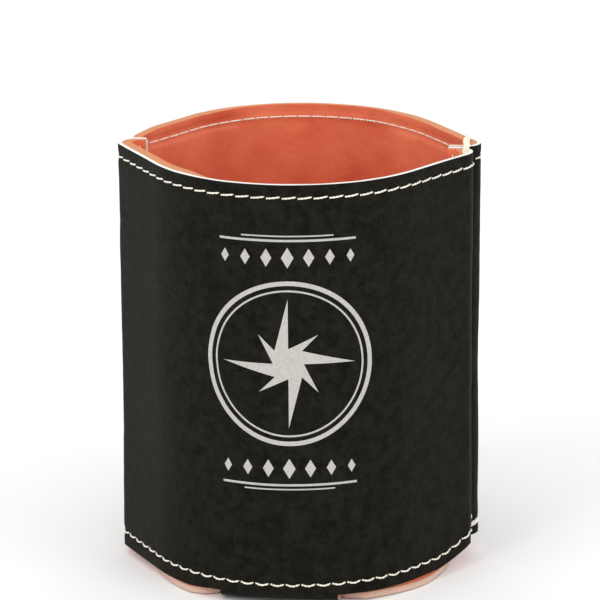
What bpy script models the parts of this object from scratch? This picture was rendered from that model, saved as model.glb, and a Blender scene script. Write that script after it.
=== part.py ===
"""A folding holder for one drink can, in lined leatherette.

Two upright panels and a round base are cut from one sheet, which folds at a narrow neck under each
panel. A soft lining of the same cut lies inside it. The panels' side edges turn inwards and are sewn
face to face, and a row of topstitching runs along the top and the bottom edge of each panel.

Units are metres. The origin is on the floor under the middle, +Z is up, the front panel faces -Y and
the two side seams lie on the X axis.
"""

import math

import bmesh
import bpy
from mathutils import Vector

# The can and the sheets
CAN_RADIUS = 0.03305
CAN_PLAY = 0.00035
LEATHER = 0.0007
LINING = 0.0010
TOUCH = 0.0003
WALL = LEATHER + TOUCH + LINING
HEIGHT = 0.0959
OUTER_RADIUS = CAN_RADIUS + CAN_PLAY + WALL

# The side seams: each panel bulges past the seam, then its edge turns in along the other panel's edge
BULGE_RADIUS = 0.0038
BULGE_X = 0.03595
BULGE_Y = BULGE_RADIUS + TOUCH / 2
EDGE_TIP_X = CAN_RADIUS + CAN_PLAY + 0.0002
WAIST = 0.005

# The necks and the base
FOLD_RADIUS = 0.0023
NECK_WIDTH = 0.0265
SLOT_RISE = 0.0005
SLOT_RUN = 0.0090
SLIT = 0.0006
LOBE_RADIUS = CAN_RADIUS
CORNER_RISE = 0.0012
CORNER_RUN = 0.0060

# The threads
THREAD_RADIUS = 0.00028
BOBBIN_RADIUS = 0.00018
TACK_RADIUS = 0.00027
THREAD_CLEAR = 0.00012
ROW_STITCHES = 33
TOP_ROW_DROP = 0.0029
BOTTOM_ROW_Z = 0.0053
SCALLOP_SAG = 0.00025
SEAM_STITCHES = 25

# Mesh steps
NECK_STEPS = 5
ARC_STEPS = 8
SIDE_STEPS = 4
BULGE_STEPS = 8
EDGE_STEPS = 1
FOLD_STEPS = 4
WALL_ROWS = 6
LOBE_STEPS = 20

# Angles are measured from -Y towards +X, and lengths along a panel from its middle.
BULGE_DISTANCE = math.hypot(BULGE_X, BULGE_Y)
LEAN = math.acos((OUTER_RADIUS - BULGE_RADIUS) / BULGE_DISTANCE)
ARC_END = math.atan2(BULGE_X, BULGE_Y) - LEAN
ARC_LENGTH = OUTER_RADIUS * ARC_END
SIDE_LENGTH = BULGE_DISTANCE * math.sin(LEAN)
BULGE_LENGTH = BULGE_RADIUS * (math.pi - ARC_END)
EDGE_LENGTH = BULGE_X - EDGE_TIP_X
NECK_ANGLE = math.asin(NECK_WIDTH / 2 / OUTER_RADIUS)
NECK_LENGTH = OUTER_RADIUS * NECK_ANGLE
FRONT, BACK = 1, -1

COLOURS = {
    "black_leatherette": (0.020, 0.019, 0.018),
    "coral_lining": (0.78, 0.17, 0.07),
    "ivory_thread": (0.86, 0.82, 0.68),
}


def clear_scene():
    for thing in list(bpy.data.objects):
        bpy.data.objects.remove(thing)


def material(name, roughness):
    made = bpy.data.materials.new(name)
    made.use_nodes = True
    shader = made.node_tree.nodes["Principled BSDF"]
    shader.inputs["Base Color"].default_value = (*COLOURS[name], 1.0)
    shader.inputs["Roughness"].default_value = roughness
    shader.inputs["Metallic"].default_value = 0.0
    return made


def facing(angle):
    return Vector((math.sin(angle), -math.cos(angle), 0.0))


def panel_line(length):
    """The point of the front panel's outer face at a length along it, and the way that face looks."""
    side = -1.0 if length < 0 else 1.0
    left = abs(length)
    if left <= ARC_LENGTH:
        angle = left / OUTER_RADIUS
        point = facing(angle) * OUTER_RADIUS
    elif left <= ARC_LENGTH + SIDE_LENGTH:
        angle = ARC_END
        along = Vector((math.cos(angle), math.sin(angle), 0.0))
        point = facing(angle) * OUTER_RADIUS + along * (left - ARC_LENGTH)
    elif left <= ARC_LENGTH + SIDE_LENGTH + BULGE_LENGTH:
        angle = ARC_END + (left - ARC_LENGTH - SIDE_LENGTH) / BULGE_RADIUS
        point = Vector((BULGE_X, -BULGE_Y, 0.0)) + facing(angle) * BULGE_RADIUS
    else:
        angle = math.pi
        turned_in = left - ARC_LENGTH - SIDE_LENGTH - BULGE_LENGTH
        point = Vector((BULGE_X - turned_in, -TOUCH / 2, 0.0))
    look = facing(angle)
    mirror = Vector((side, 1.0, 1.0))
    return point * mirror, look * mirror


def settled(point):
    """The holder draws in slightly at half height."""
    stretch = 1.0 - WAIST * math.sin(math.pi * point.z / HEIGHT)
    return Vector((point.x * stretch, point.y, point.z))


def on_panel(panel, length, depth, z):
    """A place at a depth below a panel's outer face."""
    point, look = panel_line(length)
    place = (point - look * depth) * panel
    place.z = z
    return settled(place)


def on_fold(panel, length, depth, turn):
    """A place in a neck's fold, where turn runs from 0 at the panel to a quarter turn at the base."""
    point, look = panel_line(length)
    reach = FOLD_RADIUS - depth
    place = (point + look * (reach * math.cos(turn) - FOLD_RADIUS)) * panel
    place.z = FOLD_RADIUS - reach * math.sin(turn)
    return settled(place)


def on_base(panel, radius, angle, depth):
    place = facing(angle) * radius * panel
    place.z = depth
    return settled(place)


def at_side(place, side):
    """A settled place at the right seam, or turned half round to the left one."""
    settled_place = settled(place)
    return Vector((settled_place.x * side, settled_place.y * side, settled_place.z))


def even_steps(start, end, count):
    return [start + (end - start) * i / count for i in range(1, count + 1)]


def half_columns():
    """Lengths along half a panel, with one at each change of its line."""
    side_end = ARC_LENGTH + SIDE_LENGTH
    bulge_end = side_end + BULGE_LENGTH
    return (
        even_steps(0.0, NECK_LENGTH, NECK_STEPS)
        + even_steps(NECK_LENGTH, ARC_LENGTH, ARC_STEPS)
        + even_steps(ARC_LENGTH, side_end, SIDE_STEPS)
        + even_steps(side_end, bulge_end, BULGE_STEPS)
        + even_steps(bulge_end, bulge_end + EDGE_LENGTH, EDGE_STEPS)
    )


def lower_edge(length):
    """A panel's lower edge rises beside its neck, where the slot starts, and at its rounded corners."""
    past_neck = abs(length) - NECK_LENGTH
    if past_neck <= 1e-9:
        return FOLD_RADIUS
    slot = max(0.0, 1.0 - past_neck / SLOT_RUN)
    into_corner = abs(length) - (ARC_LENGTH + SIDE_LENGTH - CORNER_RUN / 2)
    corner = min(max(into_corner / CORNER_RUN, 0.0), 1.0)
    return FOLD_RADIUS + SLOT_RISE * slot + CORNER_RISE * (1.0 - math.sqrt(1.0 - corner * corner))


def lobe_outline():
    """Radius and angle of the points round one half of the base, between the two necks."""
    start = NECK_ANGLE + SLIT / OUTER_RADIUS
    return [(LOBE_RADIUS, start + (math.pi - 2 * start) * i / LOBE_STEPS) for i in range(LOBE_STEPS + 1)]


def sheet_places(depth):
    """Every named point of the folded sheet at one depth."""
    half = half_columns()
    columns = [-length for length in reversed(half)] + [0.0] + half
    lobe = lobe_outline()
    places = {}
    for panel in (FRONT, BACK):
        for column, length in enumerate(columns):
            low = lower_edge(length)
            for row in range(WALL_ROWS + 1):
                z = low + (HEIGHT - low) * row / WALL_ROWS
                places["wall", panel, column, row] = on_panel(panel, length, depth, z)
        for column in range(len(half) - NECK_STEPS, len(half) + NECK_STEPS + 1):
            for step in range(1, FOLD_STEPS + 1):
                turn = math.pi / 2 * step / FOLD_STEPS
                places["fold", panel, column, step] = on_fold(panel, columns[column], depth, turn)
        for i, (radius, angle) in enumerate(lobe):
            places["lobe", panel, i] = on_base(panel, radius, angle, depth)
    return places


def sheet_faces():
    """The faces of one side of the folded sheet, as rings of point names."""
    middle = len(half_columns())
    neck = range(middle - NECK_STEPS, middle + NECK_STEPS)
    faces = []
    base = []
    for panel in (FRONT, BACK):
        for column in range(2 * middle):
            for row in range(WALL_ROWS):
                faces.append([
                    ("wall", panel, column, row),
                    ("wall", panel, column + 1, row),
                    ("wall", panel, column + 1, row + 1),
                    ("wall", panel, column, row + 1),
                ])
        for column in neck:
            above = [("wall", panel, column, 0), ("wall", panel, column + 1, 0)]
            for step in range(1, FOLD_STEPS + 1):
                below = [("fold", panel, column, step), ("fold", panel, column + 1, step)]
                faces.append([below[0], below[1], above[1], above[0]])
                above = below
        base += [("fold", panel, column, FOLD_STEPS) for column in range(neck.start, neck.stop + 1)]
        base += [("lobe", panel, i) for i in range(len(lobe_outline()))]
    faces.append(list(reversed(base)))
    return faces


def folded_sheet(name, near, far, finish):
    """A closed body between two depths: both sides of the sheet, joined round all its cut edges."""
    mesh = bmesh.new()
    near_side = {key: mesh.verts.new(place) for key, place in sheet_places(near).items()}
    far_side = {key: mesh.verts.new(place) for key, place in sheet_places(far).items()}
    uses = {}
    for ring in sheet_faces():
        mesh.faces.new([near_side[key] for key in ring])
        mesh.faces.new([far_side[key] for key in reversed(ring)])
        for start, end in zip(ring, ring[1:] + ring[:1]):
            uses.setdefault(frozenset((start, end)), []).append((start, end))
    for ends in uses.values():
        if len(ends) == 1:
            start, end = ends[0]
            mesh.faces.new([near_side[end], near_side[start], far_side[start], far_side[end]])
    bmesh.ops.recalc_face_normals(mesh, faces=mesh.faces)
    data = bpy.data.meshes.new(name)
    mesh.to_mesh(data)
    mesh.free()
    data.materials.append(finish)
    data.shade_smooth()
    data.set_sharp_from_angle(angle=math.radians(40))
    made = bpy.data.objects.new(name, data)
    bpy.context.scene.collection.objects.link(made)
    return made


def thread(name, points, radius, finish, swell=None, smoothness=1):
    """One length of thread through the points, as a round curve whose thickness swell may vary."""
    curve = bpy.data.curves.new(name, "CURVE")
    curve.dimensions = "3D"
    curve.bevel_depth = radius
    curve.bevel_resolution = smoothness
    curve.use_fill_caps = True
    line = curve.splines.new("POLY")
    line.points.add(len(points) - 1)
    for i, (knot, place) in enumerate(zip(line.points, points)):
        knot.co = (*place, 1.0)
        knot.radius = swell[i] if swell else 1.0
    curve.materials.append(finish)
    made = bpy.data.objects.new(name, curve)
    bpy.context.scene.collection.objects.link(made)
    return made


def stitch_row(name, panel, z, sag, finish):
    """The needle thread of one row: it swells over each stitch and pinches where it goes in."""
    reach = ARC_LENGTH + SIDE_LENGTH + BULGE_LENGTH * 0.62
    points, swell = [], []
    for i in range(3 * ROW_STITCHES + 1):
        bow = math.sin(math.pi * (i % 3) / 3)
        length = reach * (2.0 * i / (3 * ROW_STITCHES) - 1.0)
        fullness = 0.55 + 0.52 * bow
        lift = THREAD_CLEAR + THREAD_RADIUS * fullness
        points.append(on_panel(panel, length, -lift, z - sag * bow))
        swell.append(fullness)
    return thread(name, points, THREAD_RADIUS, finish, swell)


def bobbin_row(name, panel, z, finish):
    """The lower thread of the same row, flat against the lining."""
    reach = ARC_LENGTH + SIDE_LENGTH * 0.9
    points, swell = [], []
    for i in range(2 * ROW_STITCHES + 1):
        length = reach * (i / ROW_STITCHES - 1.0)
        fullness = 1.0 if i % 2 else 0.7
        lift = THREAD_CLEAR + BOBBIN_RADIUS * fullness
        points.append(on_panel(panel, length, WALL + lift, z))
        swell.append(fullness)
    return thread(name, points, BOBBIN_RADIUS, finish, swell, 0)


def seam_thread(name, side, finish):
    """The thread of a side seam: up one turned-in edge, over its top and down the other."""
    x = (EDGE_TIP_X + BULGE_X) / 2
    y = TOUCH / 2 + WALL + THREAD_CLEAR + BOBBIN_RADIUS
    low = FOLD_RADIUS + 0.002
    top = HEIGHT + THREAD_CLEAR + BOBBIN_RADIUS
    count = 2 * SEAM_STITCHES
    up, swell = [], []
    for i in range(count):
        z = low + (top - low) * i / count
        up.append(Vector((x, -y, z)))
        swell.append(1.0 if i % 2 else 0.7)
    corner = [Vector((x, -y, top)), Vector((x, y, top))]
    down = [Vector((place.x, -place.y, place.z)) for place in reversed(up)]
    points = [at_side(place, side) for place in up + corner + down]
    return thread(name, points, BOBBIN_RADIUS, finish, swell + [1.0, 1.0] + swell[::-1], 0)


def top_tack(name, side, finish):
    """Two turns of thread over the top of a side seam, where the sewing ends."""
    y = TOUCH / 2 + WALL + 2 * THREAD_CLEAR + TACK_RADIUS
    top = HEIGHT + THREAD_CLEAR + TACK_RADIUS
    low = top - 0.0034
    first = BULGE_X - 0.0003
    second = first + 2 * TACK_RADIUS + 0.0001
    tucked = y - TACK_RADIUS * 0.6
    over = top - TACK_RADIUS
    points = [
        Vector((first, -y, low)),
        Vector((first, -y, over)),
        Vector((first, -tucked, top)),
        Vector((first, tucked, top)),
        Vector((first, y, over)),
        Vector((first, y, low)),
        Vector((second, y, low)),
        Vector((second, y, over)),
        Vector((second, tucked, top)),
        Vector((second, -tucked, top)),
        Vector((second, -y, over)),
        Vector((second, -y, low + 0.001)),
    ]
    return thread(name, [at_side(place, side) for place in points], TACK_RADIUS, finish)


def bottom_tack(name, side, finish):
    """A thick stitch outside, across the foot of a side seam, with its tail in the groove."""
    reach = BULGE_RADIUS + THREAD_CLEAR + TACK_RADIUS
    low_z = BOTTOM_ROW_Z + 0.0008
    high_z = low_z + 0.0022

    def beside(angle, z, panel):
        place = Vector((BULGE_X, -BULGE_Y * panel, 0.0))
        place += Vector((math.sin(angle), -math.cos(angle) * panel, 0.0)) * reach
        place.z = z
        return at_side(place, side)

    points = [beside(math.radians(a), low_z, 1) for a in (84, 98, 112)]
    points += [beside(math.radians(a), high_z, -1) for a in (112, 98, 84)]
    return thread(name, points, TACK_RADIUS, finish)


def build():
    clear_scene()
    leather = material("black_leatherette", 0.62)
    lining = material("coral_lining", 0.55)
    ivory = material("ivory_thread", 0.7)
    folded_sheet("leatherette_shell", 0.0, LEATHER, leather)
    folded_sheet("lining", LEATHER + TOUCH, WALL, lining)
    for word, panel in (("front", FRONT), ("back", BACK)):
        stitch_row(f"{word}_top_stitching", panel, HEIGHT - TOP_ROW_DROP, 0.0, ivory)
        stitch_row(f"{word}_bottom_stitching", panel, BOTTOM_ROW_Z, SCALLOP_SAG, ivory)
        bobbin_row(f"{word}_top_bobbin_thread", panel, HEIGHT - TOP_ROW_DROP, ivory)
        bobbin_row(f"{word}_bottom_bobbin_thread", panel, BOTTOM_ROW_Z, ivory)
    for word, side in (("right", 1), ("left", -1)):
        seam_thread(f"{word}_seam_thread", side, ivory)
        bottom_tack(f"{word}_bottom_tack", side, ivory)
    top_tack("right_top_tack", 1, ivory)


build()
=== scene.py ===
# %% [markdown]
# # A lined leatherette holder for a drink can
# The real holder is die-cut from flat sheet and then folded and sewn. A black leatherette with a
# white backing makes the outside, and a coral lining of the same cut lies inside it. Two panels hang
# from one round base by narrow necks, so most of this lesson is about folding a flat grid into shape.
# All sizes are in metres. The front panel faces -Y, the side seams lie on the X axis and +Z is up.

# %% Load the fixed frame
import math

import bpy
from mathutils import Matrix, Vector, noise


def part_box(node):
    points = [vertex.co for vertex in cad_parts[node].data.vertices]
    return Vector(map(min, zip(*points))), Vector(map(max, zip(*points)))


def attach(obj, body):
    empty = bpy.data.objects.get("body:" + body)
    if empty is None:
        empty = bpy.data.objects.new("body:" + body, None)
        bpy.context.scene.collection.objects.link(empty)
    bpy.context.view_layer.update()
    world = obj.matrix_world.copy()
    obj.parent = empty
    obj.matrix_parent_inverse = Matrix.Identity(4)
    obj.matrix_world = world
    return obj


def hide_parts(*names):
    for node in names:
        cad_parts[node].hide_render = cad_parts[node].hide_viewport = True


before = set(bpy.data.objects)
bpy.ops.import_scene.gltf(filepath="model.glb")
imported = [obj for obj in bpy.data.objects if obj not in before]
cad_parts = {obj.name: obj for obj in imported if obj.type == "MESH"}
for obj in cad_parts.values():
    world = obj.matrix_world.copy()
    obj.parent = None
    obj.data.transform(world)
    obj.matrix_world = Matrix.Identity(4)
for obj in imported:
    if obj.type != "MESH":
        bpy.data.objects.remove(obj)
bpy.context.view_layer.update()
shell_low, shell_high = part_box("leatherette_shell")
lining_low, lining_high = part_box("lining")
print("shell from", tuple(shell_low), "to", tuple(shell_high))
print("lining from", tuple(lining_low), "to", tuple(lining_high))

# %% [markdown]
# ## The line that a panel follows
# Seen from above, each panel wraps round the can, leaves it in a straight line, bulges past the side
# seam and turns its edge inwards. One function gives the point at any length along that line, and
# every sheet and thread below is placed with it. Lengths are measured from the panel's middle.

# %% Sizes read from the frame, and the panel's line
HEIGHT = shell_high.z
OUTER_RADIUS = -shell_low.y
LINING_DEPTH = lining_low.z
SHEET_GAP = 0.0001
LEATHER = LINING_DEPTH - SHEET_GAP
PRESSED_LINING = 0.0010
WALL = LINING_DEPTH + PRESSED_LINING
CAN_PLAY = 0.00035
CAN_RADIUS = OUTER_RADIUS - WALL - CAN_PLAY
SEAM_GAP = 0.0003
BULGE_RADIUS = 0.0038
BULGE_X = shell_high.x - BULGE_RADIUS
BULGE_Y = BULGE_RADIUS + SEAM_GAP / 2
EDGE_SETBACK = 0.0002
EDGE_TIP_X = OUTER_RADIUS - WALL + EDGE_SETBACK
WAIST = 0.005
FOOT_RUN = 0.010
FOOT_RISE = 0.0025
FOOT_CURVE = 1.4
FRONT, BACK = 1, -1
RIGHT, LEFT = 1, -1
SHIFT_START = 0.6
SIDE_SHIFTS = {
    (FRONT, RIGHT): (-0.0006, -0.0003),
    (FRONT, LEFT): (-0.0001, 0.0005),
    (BACK, RIGHT): (0.0002, 0.0006),
    (BACK, LEFT): (0.0012, 0.0017),
}

bulge_distance = math.hypot(BULGE_X, BULGE_Y)
lean = math.acos((OUTER_RADIUS - BULGE_RADIUS) / bulge_distance)
ARC_END = math.atan2(BULGE_X, BULGE_Y) - lean
ARC_LENGTH = OUTER_RADIUS * ARC_END
SIDE_END = ARC_LENGTH + bulge_distance * math.sin(lean)
BULGE_END = SIDE_END + BULGE_RADIUS * (math.pi - ARC_END)
PANEL_END = BULGE_END + BULGE_X - EDGE_TIP_X


def facing(angle):
    return Vector((math.sin(angle), -math.cos(angle), 0.0))


def panel_line(length):
    """The point of the front panel's outer face at a length along it, and the way the face looks."""
    left = abs(length)
    if left <= ARC_LENGTH:
        look = facing(left / OUTER_RADIUS)
        point = look * OUTER_RADIUS
    elif left <= SIDE_END:
        look = facing(ARC_END)
        along = Vector((math.cos(ARC_END), math.sin(ARC_END), 0.0))
        point = look * OUTER_RADIUS + along * (left - ARC_LENGTH)
    elif left <= BULGE_END:
        look = facing(ARC_END + (left - SIDE_END) / BULGE_RADIUS)
        point = Vector((BULGE_X, -BULGE_Y, 0.0)) + look * BULGE_RADIUS
    else:
        look = facing(math.pi)
        point = Vector((BULGE_X - (left - BULGE_END), -SEAM_GAP / 2, 0.0))
    mirror = Vector((math.copysign(1.0, length), 1.0, 1.0))
    return point * mirror, look * mirror


def settled(point):
    """The soft holder draws in slightly at half height."""
    draw = 1.0 - WAIST * math.sin(math.pi * min(max(point.z / HEIGHT, 0.0), 1.0))
    return Vector((point.x * draw, point.y, point.z))


def smooth_step(low, high, value):
    share = min(max((value - low) / (high - low), 0.0), 1.0)
    return share * share * (3.0 - 2.0 * share)


def side_shift(panel, length, height):
    """How far the soft sides sit off their plain place, along X, at the foot and at the rim."""
    side = RIGHT if length * panel > 0 else LEFT
    at_foot, at_rim = SIDE_SHIFTS[panel, side]
    spread = smooth_step(ARC_LENGTH * SHIFT_START, SIDE_END, abs(length))
    past_bulge = (abs(length) - BULGE_END) / (PANEL_END - BULGE_END)
    spread *= 1.0 - max(past_bulge, 0.0)
    return spread * (at_foot + (at_rim - at_foot) * height / HEIGHT)


def on_panel(panel, length, depth, height):
    """A place at a depth below a panel's outer face. A negative depth stands off the face."""
    point, look = panel_line(length)
    place = (point - look * depth) * panel
    place.x += side_shift(panel, length, height)
    place.z = height
    return settled(place)


def foot_rise(panel, length):
    """The sewing of the right seam draws the foot of both panels up beside it."""
    if length * panel < 0:
        return 0.0
    near = (abs(length) - SIDE_END + FOOT_RUN) / FOOT_RUN
    return FOOT_RISE * min(max(near, 0.0), 1.1) ** FOOT_CURVE


print("a panel is", round(2 * PANEL_END * 1000, 1), "mm wide when flat")

# %% [markdown]
# ## How the soft sheet is not quite smooth
# Thread under tension pulls a shallow channel into the leatherette, and the sheet waves a little
# where no can presses on it. Moving the points of the mesh does this better than a bump would,
# because the outline waves too. Both sheets use the same function, so they stay together.

# %% The relief of the sheet
ROW_STITCHES = 33
ROW_PAST_SIDE = 0.62
ROW_REACH = SIDE_END + (BULGE_END - SIDE_END) * ROW_PAST_SIDE
STITCH = 2 * ROW_REACH / ROW_STITCHES
TOP_ROW_DROP = 0.0029
TOP_ROW = HEIGHT - TOP_ROW_DROP
BOTTOM_ROW = 0.0053
CHANNEL_DEPTH = 0.00022
CHANNEL_WIDTH = 0.0008
BETWEEN_HOLES = 0.45
WAVE = 0.00035
WAVE_SCALE = 45.0
CREASE = 0.00010
CREASE_SCALES = (90.0, 320.0, 100.0)
CALM_FOOT = (0.003, 0.012)


def relief(panel, length, height):
    """How far the face stands off its plain line, outwards, at a place on a panel."""
    pull = 0.0
    for row in (TOP_ROW, BOTTOM_ROW + foot_rise(panel, length)):
        near = math.exp(-(((height - row) / CHANNEL_WIDTH) ** 2))
        hole = 0.5 + 0.5 * math.cos(2 * math.pi * (length + ROW_REACH) / STITCH)
        pull += near * (BETWEEN_HOLES + (1.0 - BETWEEN_HOLES) * hole)
    if abs(length) > ROW_REACH:
        pull = 0.0
    flat = Vector((length, height, 0.05 * panel))
    wave = noise.noise(flat * WAVE_SCALE)
    slant = Vector((length * 0.8 + height * 0.5, height * 0.8 - length * 0.5, 0.1 * panel))
    across, along, apart = CREASE_SCALES
    crease = noise.noise(Vector((slant.x * across, slant.y * along, slant.z * apart)))
    calm = 1.0 - smooth_step(SIDE_END, BULGE_END, abs(length))
    calm *= smooth_step(*CALM_FOOT, height)
    return calm * (WAVE * wave + CREASE * crease) - CHANNEL_DEPTH * pull


# %% [markdown]
# ## The flat cut, folded
# The sheet starts as a plain grid for one panel with its neck. The faces beside the neck are deleted,
# which leaves the die-cut outline, and then every point moves from its flat place to its folded one:
# up the wall, or round the quarter turn under it. The base is a disc whose rim steps in where a neck
# joins it, so its points meet the neck's last row and can be merged.

# %% Helpers for edit mode
MEETING = 0.000002


def drop_maps(thing):
    """Removes the UV maps that a primitive comes with."""
    for layer in list(thing.data.uv_layers):
        thing.data.uv_layers.remove(layer)


def select_only(*things):
    bpy.ops.object.select_all(action="DESELECT")
    for thing in things:
        thing.select_set(True)
    bpy.context.view_layer.objects.active = things[0]


def delete_faces(thing, unwanted):
    """Deletes the faces that the test picks, by their middle in the object's own space."""
    select_only(thing)
    bpy.ops.object.mode_set(mode="EDIT")
    bpy.ops.mesh.select_mode(type="FACE")
    bpy.ops.mesh.select_all(action="DESELECT")
    bpy.ops.object.mode_set(mode="OBJECT")
    for face in thing.data.polygons:
        face.select = unwanted(face.center)
    bpy.ops.object.mode_set(mode="EDIT")
    bpy.ops.mesh.delete(type="FACE")
    bpy.ops.object.mode_set(mode="OBJECT")


def merged(pieces, name):
    """Joins pieces into the first and merges the points that meet."""
    select_only(*pieces)
    bpy.ops.object.join()
    whole = bpy.context.object
    whole.name = name
    whole.data.name = name
    bpy.ops.object.mode_set(mode="EDIT")
    bpy.ops.mesh.select_all(action="SELECT")
    bpy.ops.mesh.remove_doubles(threshold=MEETING)
    bpy.ops.object.mode_set(mode="OBJECT")
    return whole


# %% Columns and rows of the grid
NECK_STEPS = 12
NECK_ANGLE = math.radians(21.6)
NECK_LENGTH = OUTER_RADIUS * NECK_ANGLE
FOLD_RADIUS = 0.0023
FOLD_ROWS = 8
NECK_REACH = (0.0055, 0.0080)
NECK_RISE = (0.0025, 0.0040)
SLOT_RISE = 0.0002
SLOT_RUN = 0.0090
LEFT_SAG = 0.0005
BAND = 0.0055
BAND_ROWS = 13
WALL_ROWS = 34
ARC_STEPS = 24
SIDE_STEPS = 18
BULGE_STEPS = 16
EDGE_STEPS = 3
A_HAIR = 1e-9


def steps(start, end, count):
    return [start + (end - start) * i / count for i in range(1, count + 1)]


half_lengths = (
    steps(0.0, NECK_LENGTH, NECK_STEPS)
    + steps(NECK_LENGTH, ARC_LENGTH, ARC_STEPS)
    + steps(ARC_LENGTH, SIDE_END, SIDE_STEPS)
    + steps(SIDE_END, BULGE_END, BULGE_STEPS)
    + steps(BULGE_END, PANEL_END, EDGE_STEPS)
)
LENGTHS = [-x for x in reversed(half_lengths)] + [0.0] + half_lengths
RISES = (
    [0.0]
    + steps(0.0, BAND, BAND_ROWS)
    + steps(BAND, HEIGHT - FOLD_RADIUS - BAND, WALL_ROWS)
    + steps(HEIGHT - FOLD_RADIUS - BAND, HEIGHT - FOLD_RADIUS, BAND_ROWS)
)
COLUMNS = len(LENGTHS) - 1
ROWS = FOLD_ROWS + len(RISES) - 1
NECK_COLUMNS = (COLUMNS // 2 - NECK_STEPS, COLUMNS // 2 + NECK_STEPS)
FOLD_LENGTH = FOLD_RADIUS * math.pi / 2
print("the grid has", COLUMNS, "columns and", ROWS, "rows")


def lower_rise(panel, length):
    """A panel's lower edge rises a little beside its neck, and the front one hangs lower at the left."""
    past = abs(length) - NECK_LENGTH
    rise = 0.0
    if A_HAIR < past < SLOT_RUN:
        rise = SLOT_RISE * (1.0 - past / SLOT_RUN)
    if panel == FRONT and length < 0:
        rise -= LEFT_SAG * smooth_step(0.0, SLOT_RUN, past)
    return rise


def neck_fold(length):
    """How far in and how far up the neck's turn reaches. It is widest in the neck's middle."""
    middle = 1.0 - (length / NECK_LENGTH) ** 2
    reach = NECK_REACH[0] + (NECK_REACH[1] - NECK_REACH[0]) * middle
    rise = NECK_RISE[0] + (NECK_RISE[1] - NECK_RISE[0]) * middle
    return reach, rise


def folded_place(panel, column, row, depth, top_drop):
    """Where a grid point goes: the wall for the upper rows, the neck's fold for the lowest ones."""
    length = LENGTHS[column]
    in_neck = abs(length) < NECK_LENGTH + A_HAIR
    if row >= FOLD_ROWS:
        share = RISES[row - FOLD_ROWS] / RISES[-1]
        low = FOLD_RADIUS + lower_rise(panel, length) + foot_rise(panel, length)
        if in_neck:
            low = neck_fold(length)[1]
        high = HEIGHT - top_drop(panel, length)
        height = low + (high - low) * share
        return on_panel(panel, length, depth - relief(panel, length, height), height)
    turn = math.pi / 2 * (FOLD_ROWS - row) / FOLD_ROWS
    reach, rise = neck_fold(length)
    point, look = panel_line(length)
    lift = relief(panel, length, rise) * math.cos(turn)
    inward = reach - (reach - depth + lift) * math.cos(turn)
    place = Vector((point.x, point.y + inward, 0.0)) * panel
    place.z = rise - (rise - depth) * math.sin(turn)
    return settled(place)


# %% [markdown]
# The grid keeps a UV map that is the flat pattern itself, at one fixed scale. Grain and creases that
# read this map run along the sheet and turn with it at the folds, as they do on real material.

# %% The panels and the base
FLAT_SCALE = 3.7
SLIT_MOUTH = 0.0308
RIGHT_EDGE = ((0, SLIT_MOUTH), (23, SLIT_MOUTH), (28, 0.0317), (34, 0.0337), (60, 0.0352), (80, 0.0346))
LEFT_EDGE = ((0, SLIT_MOUTH), (25, SLIT_MOUTH), (31, 0.0343), (36, 0.0352), (57, 0.0342), (75, CAN_RADIUS))
LOBE_EDGE = {
    RIGHT: (*RIGHT_EDGE, (91, CAN_RADIUS)),
    LEFT: (*LEFT_EDGE, (91, CAN_RADIUS)),
}
FOLD_LINE = OUTER_RADIUS - FOLD_RADIUS
BASE_POINTS = round(2 * math.pi / (NECK_ANGLE / NECK_STEPS))
SLIT = 0.0004
FREE_LINING = 0.0020
PRESSED = 0.45
FREE_FROM = (0.012, 0.026)
STITCH_SQUEEZE = 0.45
SQUEEZE_WIDTH = 0.0011
TURN_EASE = 0.001
CORNER_DIP = 0.0010
DIP_RUN = (-0.006, 0.004)
PAST_LOBE_TOP = 0.0012


def lobe_radius(side, angle):
    """The base is round, but beside each slit its soft edge is drawn in and further round pushed out."""
    turn = abs(math.degrees(angle))
    edge = LOBE_EDGE[side]
    for (start, first), (end, last) in zip(edge, edge[1:]):
        if turn <= end:
            return first + (last - first) * smooth_step(start, end, turn)
    return CAN_RADIUS


def rim_dip(panel, length):
    """The back panel's left corner sits a little low behind the front panel's."""
    if panel == FRONT or length < 0:
        return 0.0
    return CORNER_DIP * smooth_step(SIDE_END + DIP_RUN[0], SIDE_END + DIP_RUN[1], length)


def fullness(panel, length, height):
    """The share of its free thickness that the foam keeps where the can, seams and stitches press it."""
    free = smooth_step(*FREE_FROM, abs(length))
    free *= 1.0 - smooth_step(BULGE_END - TURN_EASE, BULGE_END + TURN_EASE, abs(length))
    for row in (TOP_ROW, BOTTOM_ROW + foot_rise(panel, length)):
        free *= 1.0 - STITCH_SQUEEZE * math.exp(-(((height - row) / SQUEEZE_WIDTH) ** 2))
    return PRESSED + (1.0 - PRESSED) * free


def give_fullness(sheet, shares):
    """Stores the thickness share of every point in a vertex group."""
    group = sheet.vertex_groups.new(name="fullness")
    for index, share in enumerate(shares):
        group.add([index], share, "REPLACE")


def give_pattern_map(sheet, flat_places):
    """Writes the flat cut's own coordinates into a UV map."""
    pattern = sheet.data.uv_layers.new(name="flat_cut")
    for loop in sheet.data.loops:
        x, y = flat_places[loop.vertex_index]
        pattern.data[loop.index].uv = (0.5 + x * FLAT_SCALE, 0.5 + y * FLAT_SCALE)


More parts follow.
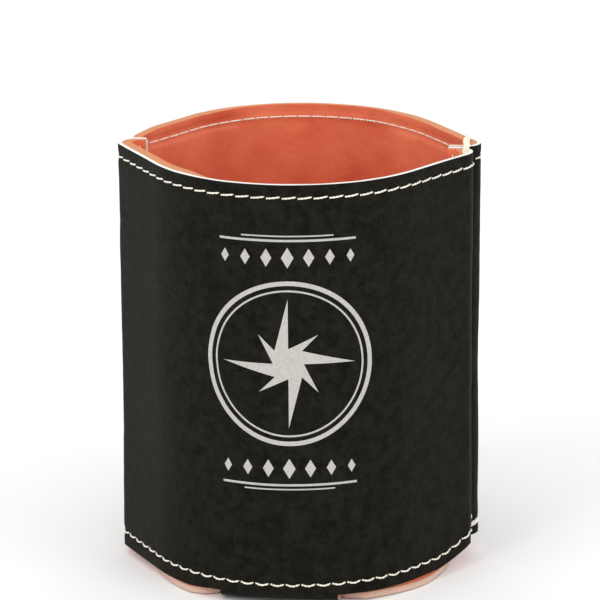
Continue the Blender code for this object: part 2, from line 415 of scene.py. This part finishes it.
def panel_grid(panel, depth, top_drop):
    bpy.ops.mesh.primitive_grid_add(x_subdivisions=COLUMNS, y_subdivisions=ROWS, size=2.0)
    sheet = bpy.context.object
    drop_maps(sheet)

    def cell(x, y):
        return round((x + 1) / 2 * COLUMNS), round((y + 1) / 2 * ROWS)

    def beside_neck(middle):
        column = (middle.x + 1) / 2 * COLUMNS
        row = (middle.y + 1) / 2 * ROWS
        return row < FOLD_ROWS and not NECK_COLUMNS[0] < column < NECK_COLUMNS[1]

    delete_faces(sheet, beside_neck)
    cells = [cell(point.co.x, point.co.y) for point in sheet.data.vertices]
    flat_places = []
    for point, (column, row) in zip(sheet.data.vertices, cells):
        rise = RISES[row - FOLD_ROWS] if row >= FOLD_ROWS else (row / FOLD_ROWS - 1.0) * FOLD_LENGTH
        from_middle = FOLD_LINE + FOLD_LENGTH + rise
        flat_places.append((LENGTHS[column] * panel, -from_middle * panel))
        point.co = folded_place(panel, column, row, depth, top_drop)
    give_pattern_map(sheet, flat_places)
    points = sheet.data.vertices
    shares = [fullness(panel, LENGTHS[spot[0]], point.co.z) for point, spot in zip(points, cells)]
    give_fullness(sheet, shares)
    return sheet


def base_disc(depth):
    bpy.ops.mesh.primitive_circle_add(vertices=BASE_POINTS, radius=CAN_RADIUS, fill_type="NGON")
    disc = bpy.context.object
    drop_maps(disc)
    step = 2 * math.pi / BASE_POINTS
    for point in disc.data.vertices:
        panel = FRONT if point.co.y < 0 else BACK
        side = RIGHT if point.co.x > 0 else LEFT
        angle = math.atan2(point.co.x, -point.co.y * panel)
        neck_edge = math.copysign(OUTER_RADIUS * math.sin(NECK_ANGLE), angle)
        slit_edge = neck_edge + math.copysign(SLIT, angle)
        fold_end = -(OUTER_RADIUS * math.cos(NECK_ANGLE) - NECK_REACH[0])
        place = facing(angle) * lobe_radius(side, angle)
        if abs(angle) < NECK_ANGLE + step / 2:
            place = facing(angle) * OUTER_RADIUS
            place.y += neck_fold(OUTER_RADIUS * angle)[0]
        elif abs(angle) < NECK_ANGLE + step * 1.5:
            place = Vector((slit_edge, fold_end, 0.0))
        elif abs(angle) < NECK_ANGLE + step * 2.5:
            place = Vector((slit_edge, -math.sqrt(SLIT_MOUTH**2 - slit_edge**2), 0.0))
        point.co = settled(Vector((place.x, place.y * panel, depth)))
    give_pattern_map(disc, [(point.co.x, point.co.y) for point in disc.data.vertices])
    give_fullness(disc, [PRESSED] * len(disc.data.vertices))
    bpy.ops.object.mode_set(mode="EDIT")
    bpy.ops.mesh.select_all(action="SELECT")
    bpy.ops.mesh.flip_normals()
    bpy.ops.object.mode_set(mode="OBJECT")
    return disc


OUTER, INNER, CUT, ROUNDING, BASE_EDGE = range(5)
FACES_DOWN = -0.3


def faces_seam_gap(face):
    """True for the rounding of a turned-in edge on the side that touches the other panel."""
    return abs(face.center.y) < SEAM_GAP + EDGE_SETBACK and face.normal.y * face.center.y < 0


def folded_sheet(name, depth, thickness, rounding, top_drop, looks):
    """Panels and base as one skin, then a wall with softened cut edges.

    The looks are for the outer face, the inner face, the cut edge, its rounding and the base's edge.
    """
    panels = [panel_grid(panel, depth, top_drop) for panel in (FRONT, BACK)]
    skin = merged([*panels, base_disc(depth)], name)
    for look in looks:
        skin.data.materials.append(finishes[look])
    wall = skin.modifiers.new("wall", "SOLIDIFY")
    wall.thickness = thickness
    wall.offset = -1.0
    wall.use_even_offset = True
    wall.material_offset = INNER
    wall.material_offset_rim = CUT
    if name == "soft_lining":
        wall.vertex_group = "fullness"
    bpy.ops.object.modifier_apply(modifier="wall")
    soften = skin.modifiers.new("soften", "BEVEL")
    soften.width = rounding
    soften.segments = 2
    soften.limit_method = "ANGLE"
    soften.angle_limit = math.radians(60)
    soften.material = ROUNDING
    bpy.ops.object.modifier_apply(modifier="soften")
    for face in skin.data.polygons:
        # Roundings that face down get the black face, as painted shade along the panel's lower edge.
        painted_shade_below = face.normal.z < FACES_DOWN
        if face.material_index == ROUNDING and (painted_shade_below or faces_seam_gap(face)):
            face.material_index = OUTER
        # Cut edges near the foot, the leatherette's white backing too, take the foam look, whose ramp
        # paints floor light and shade there.
        elif face.material_index in (CUT, ROUNDING) and face.center.z < LINING_DEPTH + PAST_LOBE_TOP:
            face.material_index = BASE_EDGE
    bpy.ops.object.shade_smooth_by_angle(angle=math.radians(50))
    print(name, "has", len(skin.data.polygons), "faces")
    return skin


# %% [markdown]
# ## Materials
# Each finish is built from a few noises on Object coordinates, which stay fixed to the piece, so the
# pattern has no seams. Two small helpers keep the node code short: one adds a node, the other turns
# a height into a bump whose distance is a real one, in metres.

# %% Helpers for node materials
def new_material(name, roughness):
    made = bpy.data.materials.new(name)
    made.use_nodes = True
    shader = made.node_tree.nodes["Principled BSDF"]
    shader.inputs["Roughness"].default_value = roughness
    return made, made.node_tree, shader


def add_node(tree, kind, **values):
    node = tree.nodes.new(kind)
    for key, value in values.items():
        if key in node.inputs:
            node.inputs[key].default_value = value
        else:
            setattr(node, key, value)
    return node


def noise_at(tree, vector, scale, detail=4.0, roughness=0.55):
    made = add_node(tree, "ShaderNodeTexNoise", Scale=scale, Detail=detail, Roughness=roughness)
    tree.links.new(vector, made.inputs["Vector"])
    return made.outputs["Fac"]


def blend_colours(tree, factor, dark, light, low=0.3, high=0.7):
    ramp = tree.nodes.new("ShaderNodeValToRGB")
    ramp.color_ramp.elements[0].position = low
    ramp.color_ramp.elements[0].color = (*dark, 1.0)
    ramp.color_ramp.elements[1].position = high
    ramp.color_ramp.elements[1].color = (*light, 1.0)
    tree.links.new(factor, ramp.inputs["Fac"])
    return ramp.outputs["Color"]


def spread_value(tree, factor, low, high):
    made = add_node(tree, "ShaderNodeMapRange")
    made.inputs["From Min"].default_value = 0.3
    made.inputs["From Max"].default_value = 0.7
    made.inputs["To Min"].default_value = low
    made.inputs["To Max"].default_value = high
    tree.links.new(factor, made.inputs["Value"])
    return made.outputs["Result"]


def add_bump(tree, height, distance, strength, below=None):
    made = add_node(tree, "ShaderNodeBump", Strength=strength, Distance=distance)
    tree.links.new(height, made.inputs["Height"])
    if below is not None:
        tree.links.new(below, made.inputs["Normal"])
    return made.outputs["Normal"]


def object_place(tree):
    return tree.nodes.new("ShaderNodeTexCoord").outputs["Object"]


# %% [markdown]
# Leatherette has a fine pebbled grain pressed into it, and then small creases from handling. A
# Voronoi texture's cells make the pebbles, a fine noise roughens them, and a noise stretched along
# the flat cut's diagonal makes the creases. The colour is a warm black, finely mottled like suede.

# %% Black leatherette
def black_leatherette():
    made, tree, shader = new_material("black_leatherette", 0.6)
    shader.inputs["Specular IOR Level"].default_value = 0.06
    place = object_place(tree)
    mottle = noise_at(tree, place, 380.0, 8.0, 0.8)
    dark, pale = (0.0030, 0.0028, 0.0018), (0.0140, 0.0128, 0.0086)
    colour = blend_colours(tree, mottle, dark, pale, 0.38, 0.62)
    tree.links.new(colour, shader.inputs["Base Color"])
    tree.links.new(spread_value(tree, mottle, 0.52, 0.66), shader.inputs["Roughness"])
    pebbles = add_node(tree, "ShaderNodeTexVoronoi", Scale=1500.0, feature="SMOOTH_F1", Smoothness=0.6)
    tree.links.new(place, pebbles.inputs["Vector"])
    cut = tree.nodes.new("ShaderNodeUVMap")
    cut.uv_map = "flat_cut"
    slant = add_node(tree, "ShaderNodeMapping")
    slant.inputs["Rotation"].default_value = (0.0, 0.0, math.radians(35))
    slant.inputs["Scale"].default_value = (30.0, 110.0, 1.0)
    tree.links.new(cut.outputs["UV"], slant.inputs["Vector"])
    creases = noise_at(tree, slant.outputs["Vector"], 1.0, 5.0, 0.6)
    normal = add_bump(tree, creases, 0.0010, 0.35)
    normal = add_bump(tree, noise_at(tree, place, 900.0, 6.0, 0.7), 0.00022, 0.6, normal)
    normal = add_bump(tree, pebbles.outputs["Distance"], 0.00012, 0.5, normal)
    tree.links.new(normal, shader.inputs["Normal"])
    return made


# %% White backing, coral lining and its paler cut edge
def white_backing():
    made, tree, shader = new_material("white_backing", 0.7)
    place = object_place(tree)
    fibres = noise_at(tree, place, 1400.0, 5.0, 0.7)
    colour = blend_colours(tree, fibres, (0.78, 0.76, 0.72), (0.95, 0.94, 0.92))
    tree.links.new(colour, shader.inputs["Base Color"])
    tree.links.new(add_bump(tree, fibres, 0.0001, 0.4), shader.inputs["Normal"])
    return made


def coral_lining():
    made, tree, shader = new_material("coral_lining", 0.5)
    shader.inputs["Sheen Weight"].default_value = 0.15
    shader.inputs["Sheen Roughness"].default_value = 0.4
    place = object_place(tree)
    cloud = noise_at(tree, place, 70.0, 4.0, 0.6)
    colour = blend_colours(tree, cloud, (0.66, 0.115, 0.052), (0.82, 0.205, 0.095))
    tree.links.new(colour, shader.inputs["Base Color"])
    tree.links.new(spread_value(tree, cloud, 0.42, 0.58), shader.inputs["Roughness"])
    wrinkles = noise_at(tree, place, 260.0, 5.0, 0.6)
    normal = add_bump(tree, wrinkles, 0.0006, 0.45)
    normal = add_bump(tree, noise_at(tree, place, 1900.0, 4.0, 0.7), 0.00012, 0.5, normal)
    tree.links.new(normal, shader.inputs["Normal"])
    return made


def foam_edge_painted_light():
    """The cut edge is light orange at the rim. The pale peach at the foot is painted light bounced up from
    the white floor, and the dark orange band just above it is painted shade under the panel's edge.

    The ramp's places are tenths of a metre, because a ramp only runs from 0 to 1.
    """
    made, tree, shader = new_material("foam_edge_painted_light", 0.75)
    place = object_place(tree)
    parts = tree.nodes.new("ShaderNodeSeparateXYZ")
    tree.links.new(place, parts.inputs["Vector"])
    rise = add_node(tree, "ShaderNodeMath", operation="MULTIPLY")
    rise.inputs[1].default_value = 10.0
    tree.links.new(parts.outputs["Z"], rise.inputs[0])
    ramp = tree.nodes.new("ShaderNodeValToRGB")
    # Peach at the foot is painted floor light and deep orange just above is painted shade; light orange is
    # the foam's own colour.
    painted_floor_light_peach, painted_shade_orange, light = (0.66, 0.43, 0.34), (0.40, 0.12, 0.055), (0.64, 0.245, 0.105)
    stops = [(0.0115, painted_floor_light_peach), (0.0152, painted_shade_orange), (0.5, light)]
    for number, (position, colour) in enumerate(stops):
        if number > 1:
            ramp.color_ramp.elements.new(position)
        stop = ramp.color_ramp.elements[number]
        stop.position = position
        stop.color = (*colour, 1.0)
    tree.links.new(rise.outputs["Value"], ramp.inputs["Fac"])
    tree.links.new(ramp.outputs["Color"], shader.inputs["Base Color"])
    pores = noise_at(tree, place, 2200.0, 5.0, 0.75)
    tree.links.new(add_bump(tree, pores, 0.00015, 0.6), shader.inputs["Normal"])
    return made


# %% [markdown]
# Sewing thread is two plies twisted together. The twist is modelled, so its material only needs the
# fine fibres along each ply and a little unevenness in the ivory dye.

# %% Ivory thread
def ivory_thread():
    made, tree, shader = new_material("ivory_thread", 0.6)
    shader.inputs["Sheen Weight"].default_value = 0.2
    place = object_place(tree)
    dye = noise_at(tree, place, 500.0, 4.0, 0.6)
    colour = blend_colours(tree, dye, (0.80, 0.75, 0.60), (0.94, 0.91, 0.81))
    tree.links.new(colour, shader.inputs["Base Color"])
    fibres = noise_at(tree, place, 5200.0, 3.0, 0.7)
    tree.links.new(add_bump(tree, fibres, 0.00006, 0.5), shader.inputs["Normal"])
    return made


# %% Engraved silver
def engraved_silver():
    made, tree, shader = new_material("engraved_silver", 0.5)
    place = object_place(tree)
    speckle = noise_at(tree, place, 1600.0, 5.0, 0.7)
    colour = blend_colours(tree, speckle, (0.385, 0.378, 0.345), (0.53, 0.515, 0.475))
    tree.links.new(colour, shader.inputs["Base Color"])
    tree.links.new(add_bump(tree, speckle, 0.00006, 0.4), shader.inputs["Normal"])
    return made


finishes = {
    "leather": black_leatherette(),
    "backing": white_backing(),
    "lining": coral_lining(),
    "foam": foam_edge_painted_light(),
    "thread": ivory_thread(),
    "silver": engraved_silver(),
}


# %% [markdown]
# ## The two sheets
# The leatherette shows black outside and its white backing at its cut edges, which is the thin white
# line round the rim. Its roundings that face down are painted black as shade, and its cut edges at the
# foot take the foam look with its painted light and shade. The lining sits a touch lower along the front
# right of the rim, where the photograph shows no coral band above the white line.

# %% Leatherette and lining
MIDDLE_DROP = 0.0008
MIDDLE_RUN = (-0.022, -0.010)
RIGHT_DROP = 0.0006
RIGHT_RUN = (0.010, 0.026)
LEATHER_ROUNDING = 0.00024
FOAM_ROUNDING = 0.00028


def lining_drop(panel, length):
    """How far the lining's top edge lies below the leatherette's."""
    if panel == BACK:
        return rim_dip(panel, length)
    middle = MIDDLE_DROP * smooth_step(*MIDDLE_RUN, length)
    right = RIGHT_DROP * smooth_step(*RIGHT_RUN, length)
    turn = BULGE_END - SIDE_END
    turned_in = smooth_step(SIDE_END + turn * 0.4, SIDE_END + turn * 0.65, length)
    return (middle + right) * (1.0 - turned_in)


def finish_piece(piece, slot, *nodes):
    """Ties the piece to the one body and lets it stand for its nodes by hiding them. The slot is not used.
    """
    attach(piece, "root")
    if nodes:
        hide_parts(*nodes)


looks = ("leather", "backing", "backing", "backing", "foam")
leatherette = folded_sheet("leatherette", 0.0, LEATHER, LEATHER_ROUNDING, rim_dip, looks)
finish_piece(leatherette, "black_leatherette", "leatherette_shell")

looks = ("foam", "lining", "foam", "foam", "foam")
soft_lining = folded_sheet(
    "soft_lining", LINING_DEPTH, FREE_LINING, FOAM_ROUNDING, lining_drop, looks
)
finish_piece(soft_lining, "coral_lining", "lining")

# %% [markdown]
# ## Thread
# A stitch is a short length of two-ply thread that rises from one needle hole and dives into the
# next. Each ply is a curve that winds round the stitch's own line. A whole row is one curve object
# with two splines for each stitch, turned into a mesh at the end.

# %% Twisted thread
THREAD = 0.00023
TACK_THREAD = 0.00035
BOBBIN_THREAD = 0.00020
TWIST_LENGTH = 0.0016
PLY_OFFSET = 0.46
PLY_SIZE = 0.58


def ply_points(line, radius, phase):
    """The line of one ply, winding round the thread's own line."""
    points = []
    travelled = 0.0
    for i, place in enumerate(line):
        before = line[max(i - 1, 0)]
        after = line[min(i + 1, len(line) - 1)]
        ahead = (after - before).normalized()
        if i:
            travelled += (place - before).length
        up = Vector((0.0, 0.0, 1.0))
        if abs(ahead.z) > 0.8:
            up = Vector((1.0, 0.0, 0.0))
        side = ahead.cross(up).normalized()
        over = side.cross(ahead).normalized()
        turn = phase + 2 * math.pi * travelled / TWIST_LENGTH
        off = side * math.cos(turn) + over * math.sin(turn)
        points.append(place + off * radius * PLY_OFFSET)
    return points


def add_spline(curve, points):
    spline = curve.splines.new("POLY")
    spline.points.add(len(points) - 1)
    for knot, place in zip(spline.points, points):
        knot.co = (*place, 1.0)


def thread_piece(name, lines, radius, *nodes):
    """Two plies along each line, joined into one mesh."""
    curve = bpy.data.curves.new(name, "CURVE")
    curve.dimensions = "3D"
    curve.bevel_depth = radius * PLY_SIZE
    curve.bevel_resolution = 1
    curve.use_fill_caps = True
    for line in lines:
        for phase in (0.0, math.pi):
            add_spline(curve, ply_points(line, radius, phase))
    piece = bpy.data.objects.new(name, curve)
    bpy.context.scene.collection.objects.link(piece)
    select_only(piece)
    bpy.ops.object.convert(target="MESH")
    piece = bpy.context.object
    bpy.ops.object.shade_smooth()
    piece.data.materials.clear()
    piece.data.materials.append(finishes["thread"])
    finish_piece(piece, "ivory_thread", *nodes)
    return piece


# %% [markdown]
# The top rows are straight dashes whose right end sits a little higher than their left. The bottom
# rows sag between their holes like small smiles. Inside, the bobbin thread lies almost flat.

# %% Rows of topstitching
STITCH_POINTS = 10
STITCH_FILL = 0.98
TOP_SLANT = 0.00040
BOTTOM_SAG = 0.00035
DIVE = -1.5
BELLY = 2.3
BLUNTNESS = 0.35
INSIDE_LIFT = 0.8


def stitch_lines(panel, row, radius, sag, slant, inside):
    lines = []
    for number in range(ROW_STITCHES):
        start = -ROW_REACH + number * STITCH
        line = []
        for i in range(STITCH_POINTS + 1):
            share = i / STITCH_POINTS
            length = start + STITCH * (0.5 + (share - 0.5) * STITCH_FILL)
            bow = math.sin(math.pi * share)
            height = row - sag * bow + slant * (share - 0.5)
            if row == BOTTOM_ROW:
                height += foot_rise(panel, length)
            lift = radius * (DIVE + BELLY * bow**BLUNTNESS)
            if inside:
                depth = LINING_DEPTH + FREE_LINING * fullness(panel, length, height) + lift * INSIDE_LIFT
            else:
                depth = -lift
            depth -= relief(panel, length, height)
            line.append(on_panel(panel, length, depth, height))
        lines.append(line)
    return lines


for word, panel in (("front", FRONT), ("back", BACK)):
    top = stitch_lines(panel, TOP_ROW, THREAD, 0.0, TOP_SLANT, False)
    thread_piece(f"{word}_top_stitches", top, THREAD, f"{word}_top_stitching")
    bottom = stitch_lines(panel, BOTTOM_ROW, THREAD, BOTTOM_SAG, 0.0, False)
    thread_piece(f"{word}_bottom_stitches", bottom, THREAD, f"{word}_bottom_stitching")
    lower = stitch_lines(panel, TOP_ROW, BOBBIN_THREAD, 0.0, 0.0, True)
    thread_piece(f"{word}_top_bobbin", lower, BOBBIN_THREAD, f"{word}_top_bobbin_thread")
    lower = stitch_lines(panel, BOTTOM_ROW, BOBBIN_THREAD, 0.0, 0.0, True)
    thread_piece(f"{word}_bottom_bobbin", lower, BOBBIN_THREAD, f"{word}_bottom_bobbin_thread")


# %% [markdown]
# The side seams are sewn through the two turned-in edges. Each ends in thick stitches across its
# foot, on the back panel's side, and the right one also has three turns of thread over its top.

# %% Side seams and their tacks
SEAM_STITCHES = 25
SEAM_LOW = 0.0060
SEAM_TOP_GAP = 0.0012
SEAM_DIVE = -1.2
SEAM_BELLY = 2.0
SEAM_BLUNTNESS = 0.45
TACK_SPACING = 0.0004
OVER_RIM = 0.0006
FOOT_REACH = BULGE_RADIUS + 0.0003
FOOT_STITCH = BOTTOM_ROW + 0.0020
TUCKED = -0.0008


def rounded_line(corners, spacing=0.00018, softness=3):
    """A line through corners, filled with points and then smoothed, so it bends like thread."""
    line = []
    for start, end in zip(corners, corners[1:]):
        count = max(2, round((end - start).length / spacing))
        line += [start.lerp(end, i / count) for i in range(count)]
    line.append(corners[-1])
    for _ in range(softness):
        inner = [(line[i - 1] + line[i] * 2 + line[i + 1]) / 4 for i in range(1, len(line) - 1)]
        line = [line[0]] + inner + [line[-1]]
    return line


def at_side(place, side):
    """Turns a place on the right seam by half a turn for the left one."""
    spot = settled(place)
    return Vector((spot.x * side, spot.y * side, spot.z))


def mirrored(place, side):
    """Mirrors a place on the right seam, so that it stays on the back panel's side."""
    spot = settled(place)
    return Vector((spot.x * side, spot.y, spot.z))


def seam_lines(side):
    x = (EDGE_TIP_X + BULGE_X) / 2
    face = SEAM_GAP / 2 + WALL
    pitch = (HEIGHT - SEAM_LOW - SEAM_TOP_GAP) / SEAM_STITCHES
    lines = []
    for panel in (FRONT, BACK):
        for number in range(SEAM_STITCHES):
            line = []
            for i in range(STITCH_POINTS + 1):
                share = i / STITCH_POINTS
                z = SEAM_LOW + pitch * (number + 0.5 + (share - 0.5) * STITCH_FILL)
                bow = math.sin(math.pi * share)
                lift = BOBBIN_THREAD * (SEAM_DIVE + SEAM_BELLY * bow**SEAM_BLUNTNESS)
                line.append(at_side(Vector((x, -(face + lift) * panel, z)), side))
            lines.append(line)
    return lines


def top_tack_lines():
    """Three turns of thread over the right seam, from the back lining's edge to the front rim."""
    lines = []
    for out in (-TACK_SPACING, 0.0, TACK_SPACING):
        at_back = BULGE_X + 0.0012 + out
        at_front = BULGE_X + 0.0017 + out
        over = HEIGHT + OVER_RIM
        corners = [
            Vector((at_back, 0.0064, HEIGHT - 0.0010)),
            Vector((at_back, 0.0060, HEIGHT + 0.0005)),
            Vector((at_back, 0.0026, over)),
            Vector((at_front, -0.0004, over + 0.0001)),
            Vector((at_front, -0.0026, HEIGHT + 0.0004)),
            Vector((at_front, -0.0034, HEIGHT - 0.0012)),
        ]
        lines.append([at_side(place, RIGHT) for place in rounded_line(corners)])
    return lines


def bottom_tack_lines(side):
    """Two thick strands round the back panel's bulge, and a short one up along the seam."""

    def beside(angle, rise, out=0.0):
        turn = math.radians(angle)
        place = Vector((BULGE_X, BULGE_Y, 0.0))
        place += Vector((math.sin(turn), math.cos(turn), 0.0)) * (FOOT_REACH + out)
        place.z = FOOT_STITCH + rise
        return place

    strands = []
    for up in (0.0, 0.0005):
        strand = [beside(165, up, TUCKED), beside(148, up), beside(120, 0.0004 + up)]
        strand += [beside(92, 0.0011 + up * 0.4), beside(70, 0.0014, TUCKED)]
        strands.append(strand)
    strands.append([beside(150, 0.0011), beside(136, 0.0022), beside(148, 0.0036, TUCKED / 2)])
    return [[mirrored(place, side) for place in rounded_line(corners)] for corners in strands]


for word, side in (("right", RIGHT), ("left", LEFT)):
    thread_piece(f"{word}_seam", seam_lines(side), BOBBIN_THREAD, f"{word}_seam_thread")
    thread_piece(f"{word}_foot_stitch", bottom_tack_lines(side), TACK_THREAD, f"{word}_bottom_tack")
thread_piece("right_top_wrap", top_tack_lines(), TACK_THREAD, "right_top_tack")

# %% [markdown]
# ## The engraved ornament
# Engraving burns off the black face and shows a silver-grey layer. The ornament is a plain compass
# star in two rings with rows of lozenges. It is drawn flat from circle primitives, cut into narrow
# strips with bisect so that it can bend, wrapped round the panel and given a hair of thickness.

# %% Draw the ornament flat
ORNAMENT_HEIGHT = 0.0560
ORNAMENT_MIDDLE = 0.0030
RING_OUTER = 0.0186
RING_WIDTH = 0.0010
INNER_RING = (RING_OUTER - 0.0020, 0.0004)
STAR_TIP = 0.0146
STAR_NOTCH = 0.0042
MINOR_TIP = 0.0092
MINOR_NOTCH = STAR_NOTCH * 0.8
LOZENGE_ROW = 0.0238
LOZENGE_PITCH = 0.0046
LOZENGE_SIZE = 0.0034
LOZENGE_LESS = 0.0004
LOZENGE_WIDE = 0.8
LOZENGE_TALL = 1.35
BARS = ((0.0276, 0.0300, 0.0005), (0.0286, 0.0200, 0.0003))


def ring(outer, width, points=96):
    """A circle whose edge is extruded and drawn inwards."""
    bpy.ops.mesh.primitive_circle_add(vertices=points, radius=outer, fill_type="NOTHING")
    made = bpy.context.object
    bpy.ops.object.mode_set(mode="EDIT")
    bpy.ops.mesh.select_all(action="SELECT")
    bpy.ops.mesh.extrude_edges_move()
    inner = (outer - width) / outer
    bpy.ops.transform.resize(value=(inner, inner, 1.0))
    bpy.ops.object.mode_set(mode="OBJECT")
    return made


def half_filled_star(tip, notch, turn):
    """A star of four points whose every second half is left black, as on a compass rose."""
    bpy.ops.mesh.primitive_circle_add(vertices=8, radius=tip, fill_type="TRIFAN")
    made = bpy.context.object
    for point in made.data.vertices:
        angle = math.atan2(point.co.y, point.co.x)
        odd = round(angle / math.radians(45)) % 2
        if odd and point.co.length > tip * 0.5:
            point.co *= notch / tip

    def dark_half(middle):
        return math.floor(math.atan2(middle.y, middle.x) / math.radians(45)) % 2 == 1

    delete_faces(made, dark_half)
    made.data.transform(Matrix.Rotation(turn, 4, "Z"))
    return made


def stretched(made, width, tall):
    """Stretches a flat shape and writes its place into its mesh."""
    bpy.ops.object.mode_set(mode="EDIT")
    bpy.ops.mesh.select_all(action="SELECT")
    bpy.ops.transform.resize(value=(width, tall, 1.0))
    bpy.ops.object.mode_set(mode="OBJECT")
    select_only(made)
    bpy.ops.object.transform_apply(location=True, rotation=True, scale=True)
    return made


def lozenge(x, y, width, tall):
    place = (x, y, 0.0)
    bpy.ops.mesh.primitive_circle_add(vertices=4, radius=1.0, fill_type="NGON", location=place)
    return stretched(bpy.context.object, width / 2, tall / 2)


def bar(y, width, tall):
    bpy.ops.mesh.primitive_plane_add(size=1.0, location=(0.0, y, 0.0))
    return stretched(bpy.context.object, width, tall)


shapes = [ring(RING_OUTER, RING_WIDTH), ring(*INNER_RING)]
shapes.append(half_filled_star(MINOR_TIP, MINOR_NOTCH, math.radians(45)))
shapes.append(half_filled_star(STAR_TIP, STAR_NOTCH, 0.0))
for level in (1, -1):
    for number in range(-3, 4):
        size = LOZENGE_SIZE - LOZENGE_LESS * abs(number)
        x, y = number * LOZENGE_PITCH, level * LOZENGE_ROW
        shapes.append(lozenge(x, y, size * LOZENGE_WIDE, size * LOZENGE_TALL))
    for y, width, tall in BARS:
        shapes.append(bar(level * y, width, tall))

# %% Wrap the ornament round the front panel
STRIP = 0.0012
STRIPPED_HEIGHT = 0.030
ENGRAVED = 0.00008
ABOVE_GRAIN = 0.00007
ornament = shapes[0]
for shape in shapes:
    drop_maps(shape)
select_only(*shapes)
bpy.ops.object.join()
ornament.name = "engraved_ornament"
bpy.ops.object.mode_set(mode="EDIT")
bpy.ops.mesh.select_mode(type="VERT")
for across, reach in ((Vector((1, 0, 0)), RING_OUTER), (Vector((0, 1, 0)), STRIPPED_HEIGHT)):
    cuts = math.ceil(reach / STRIP)
    for number in range(-cuts, cuts + 1):
        spot = (number + 0.5) * STRIP
        bpy.ops.mesh.select_all(action="SELECT")
        bpy.ops.mesh.bisect(plane_co=across * spot, plane_no=across)
bpy.ops.object.mode_set(mode="OBJECT")
for point in ornament.data.vertices:
    height = ORNAMENT_HEIGHT + point.co.y
    length = point.co.x + ORNAMENT_MIDDLE
    point.co = on_panel(FRONT, length, -ABOVE_GRAIN - relief(FRONT, length, height), height)
bpy.ops.object.mode_set(mode="EDIT")
bpy.ops.mesh.select_all(action="SELECT")
bpy.ops.mesh.normals_make_consistent(inside=False)
bpy.ops.object.mode_set(mode="OBJECT")
if sum(face.normal.y * face.area for face in ornament.data.polygons) > 0:
    ornament.data.flip_normals()
film = ornament.modifiers.new("film", "SOLIDIFY")
film.thickness = ENGRAVED
film.offset = -1.0
bpy.ops.object.modifier_apply(modifier="film")
ornament.data.materials.append(finishes["silver"])
finish_piece(ornament, "black_leatherette")
print("the ornament has", len(ornament.data.polygons), "faces")

# %% [markdown]
# ## Floor, light and camera
# The photograph is lit softly from all round against white. A bright world, one large lamp from the
# upper left and a weaker one from the right do the same. The camera stands about 0.95 m away with a
# long lens, a little to the right of the front, and looks down by about 17 degrees.

# %% Floor and light
HEIGHT_OF_AIM = 0.05
WHITE = (1.0, 1.0, 1.0, 1.0)
bpy.ops.mesh.primitive_plane_add(size=8.0, location=(0.0, 0.0, -0.0002))
floor = bpy.context.object
floor.name = "floor"
floor_finish, floor_tree, floor_shader = new_material("pale_floor", 0.9)
floor_shader.inputs["Base Color"].default_value = (0.96, 0.96, 0.96, 1.0)
floor_shader.inputs["Specular IOR Level"].default_value = 0.0
floor.data.materials.append(floor_finish)

world = bpy.data.worlds.new("studio")
bpy.context.scene.world = world
world.use_nodes = True
sky = world.node_tree
soft = sky.nodes["Background"]
soft.inputs["Color"].default_value = WHITE
soft.inputs["Strength"].default_value = 1.0
seen = add_node(sky, "ShaderNodeBackground", Strength=1.0)
seen.inputs["Color"].default_value = WHITE
choose = sky.nodes.new("ShaderNodeMixShader")
rays = sky.nodes.new("ShaderNodeLightPath")
sky.links.new(rays.outputs["Is Camera Ray"], choose.inputs["Fac"])
sky.links.new(soft.outputs["Background"], choose.inputs[1])
sky.links.new(seen.outputs["Background"], choose.inputs[2])
sky.links.new(choose.outputs["Shader"], sky.nodes["World Output"].inputs["Surface"])


def soft_lamp(name, place, size, watts):
    bpy.ops.object.light_add(type="AREA", location=place)
    lamp = bpy.context.object
    lamp.name = name
    lamp.data.size = size
    lamp.data.energy = watts
    aim = Vector((0.0, 0.0, HEIGHT_OF_AIM)) - Vector(place)
    lamp.rotation_euler = aim.to_track_quat("-Z", "Y").to_euler()


soft_lamp("key_lamp", (-0.55, -0.75, 0.80), 0.6, 3.2)
soft_lamp("fill_lamp", (0.75, -0.45, 0.55), 0.5, 1.6)

# %% Camera
VIEW_AZIMUTH = math.radians(8.59)
VIEW_DISTANCE = 0.900
VIEW_HEIGHT = 0.3379
VIEW_PITCH = math.radians(17.19)
VIEW_ROLL = math.radians(0.553)
VIEW_YAW = math.radians(0.022)
FOCAL_PIXELS = 4230.8
PICTURE_PIXELS = 600.0
SENSOR = 36.0

viewpoint = facing(VIEW_AZIMUTH) * VIEW_DISTANCE + Vector((0, 0, VIEW_HEIGHT))
bpy.ops.object.camera_add(location=viewpoint)
camera = bpy.context.object
camera.data.sensor_width = SENSOR
camera.data.lens = FOCAL_PIXELS / PICTURE_PIXELS * SENSOR
turn = Matrix.Rotation(VIEW_AZIMUTH - VIEW_YAW, 4, "Z")
turn = turn @ Matrix.Rotation(math.radians(90) - VIEW_PITCH, 4, "X")
turn = turn @ Matrix.Rotation(-VIEW_ROLL, 4, "Z")
camera.rotation_euler = turn.to_euler()
camera.data.clip_start = 0.05
camera.data.clip_end = 20.0
bpy.context.scene.camera = camera
bpy.context.scene.view_settings.view_transform = "Standard"
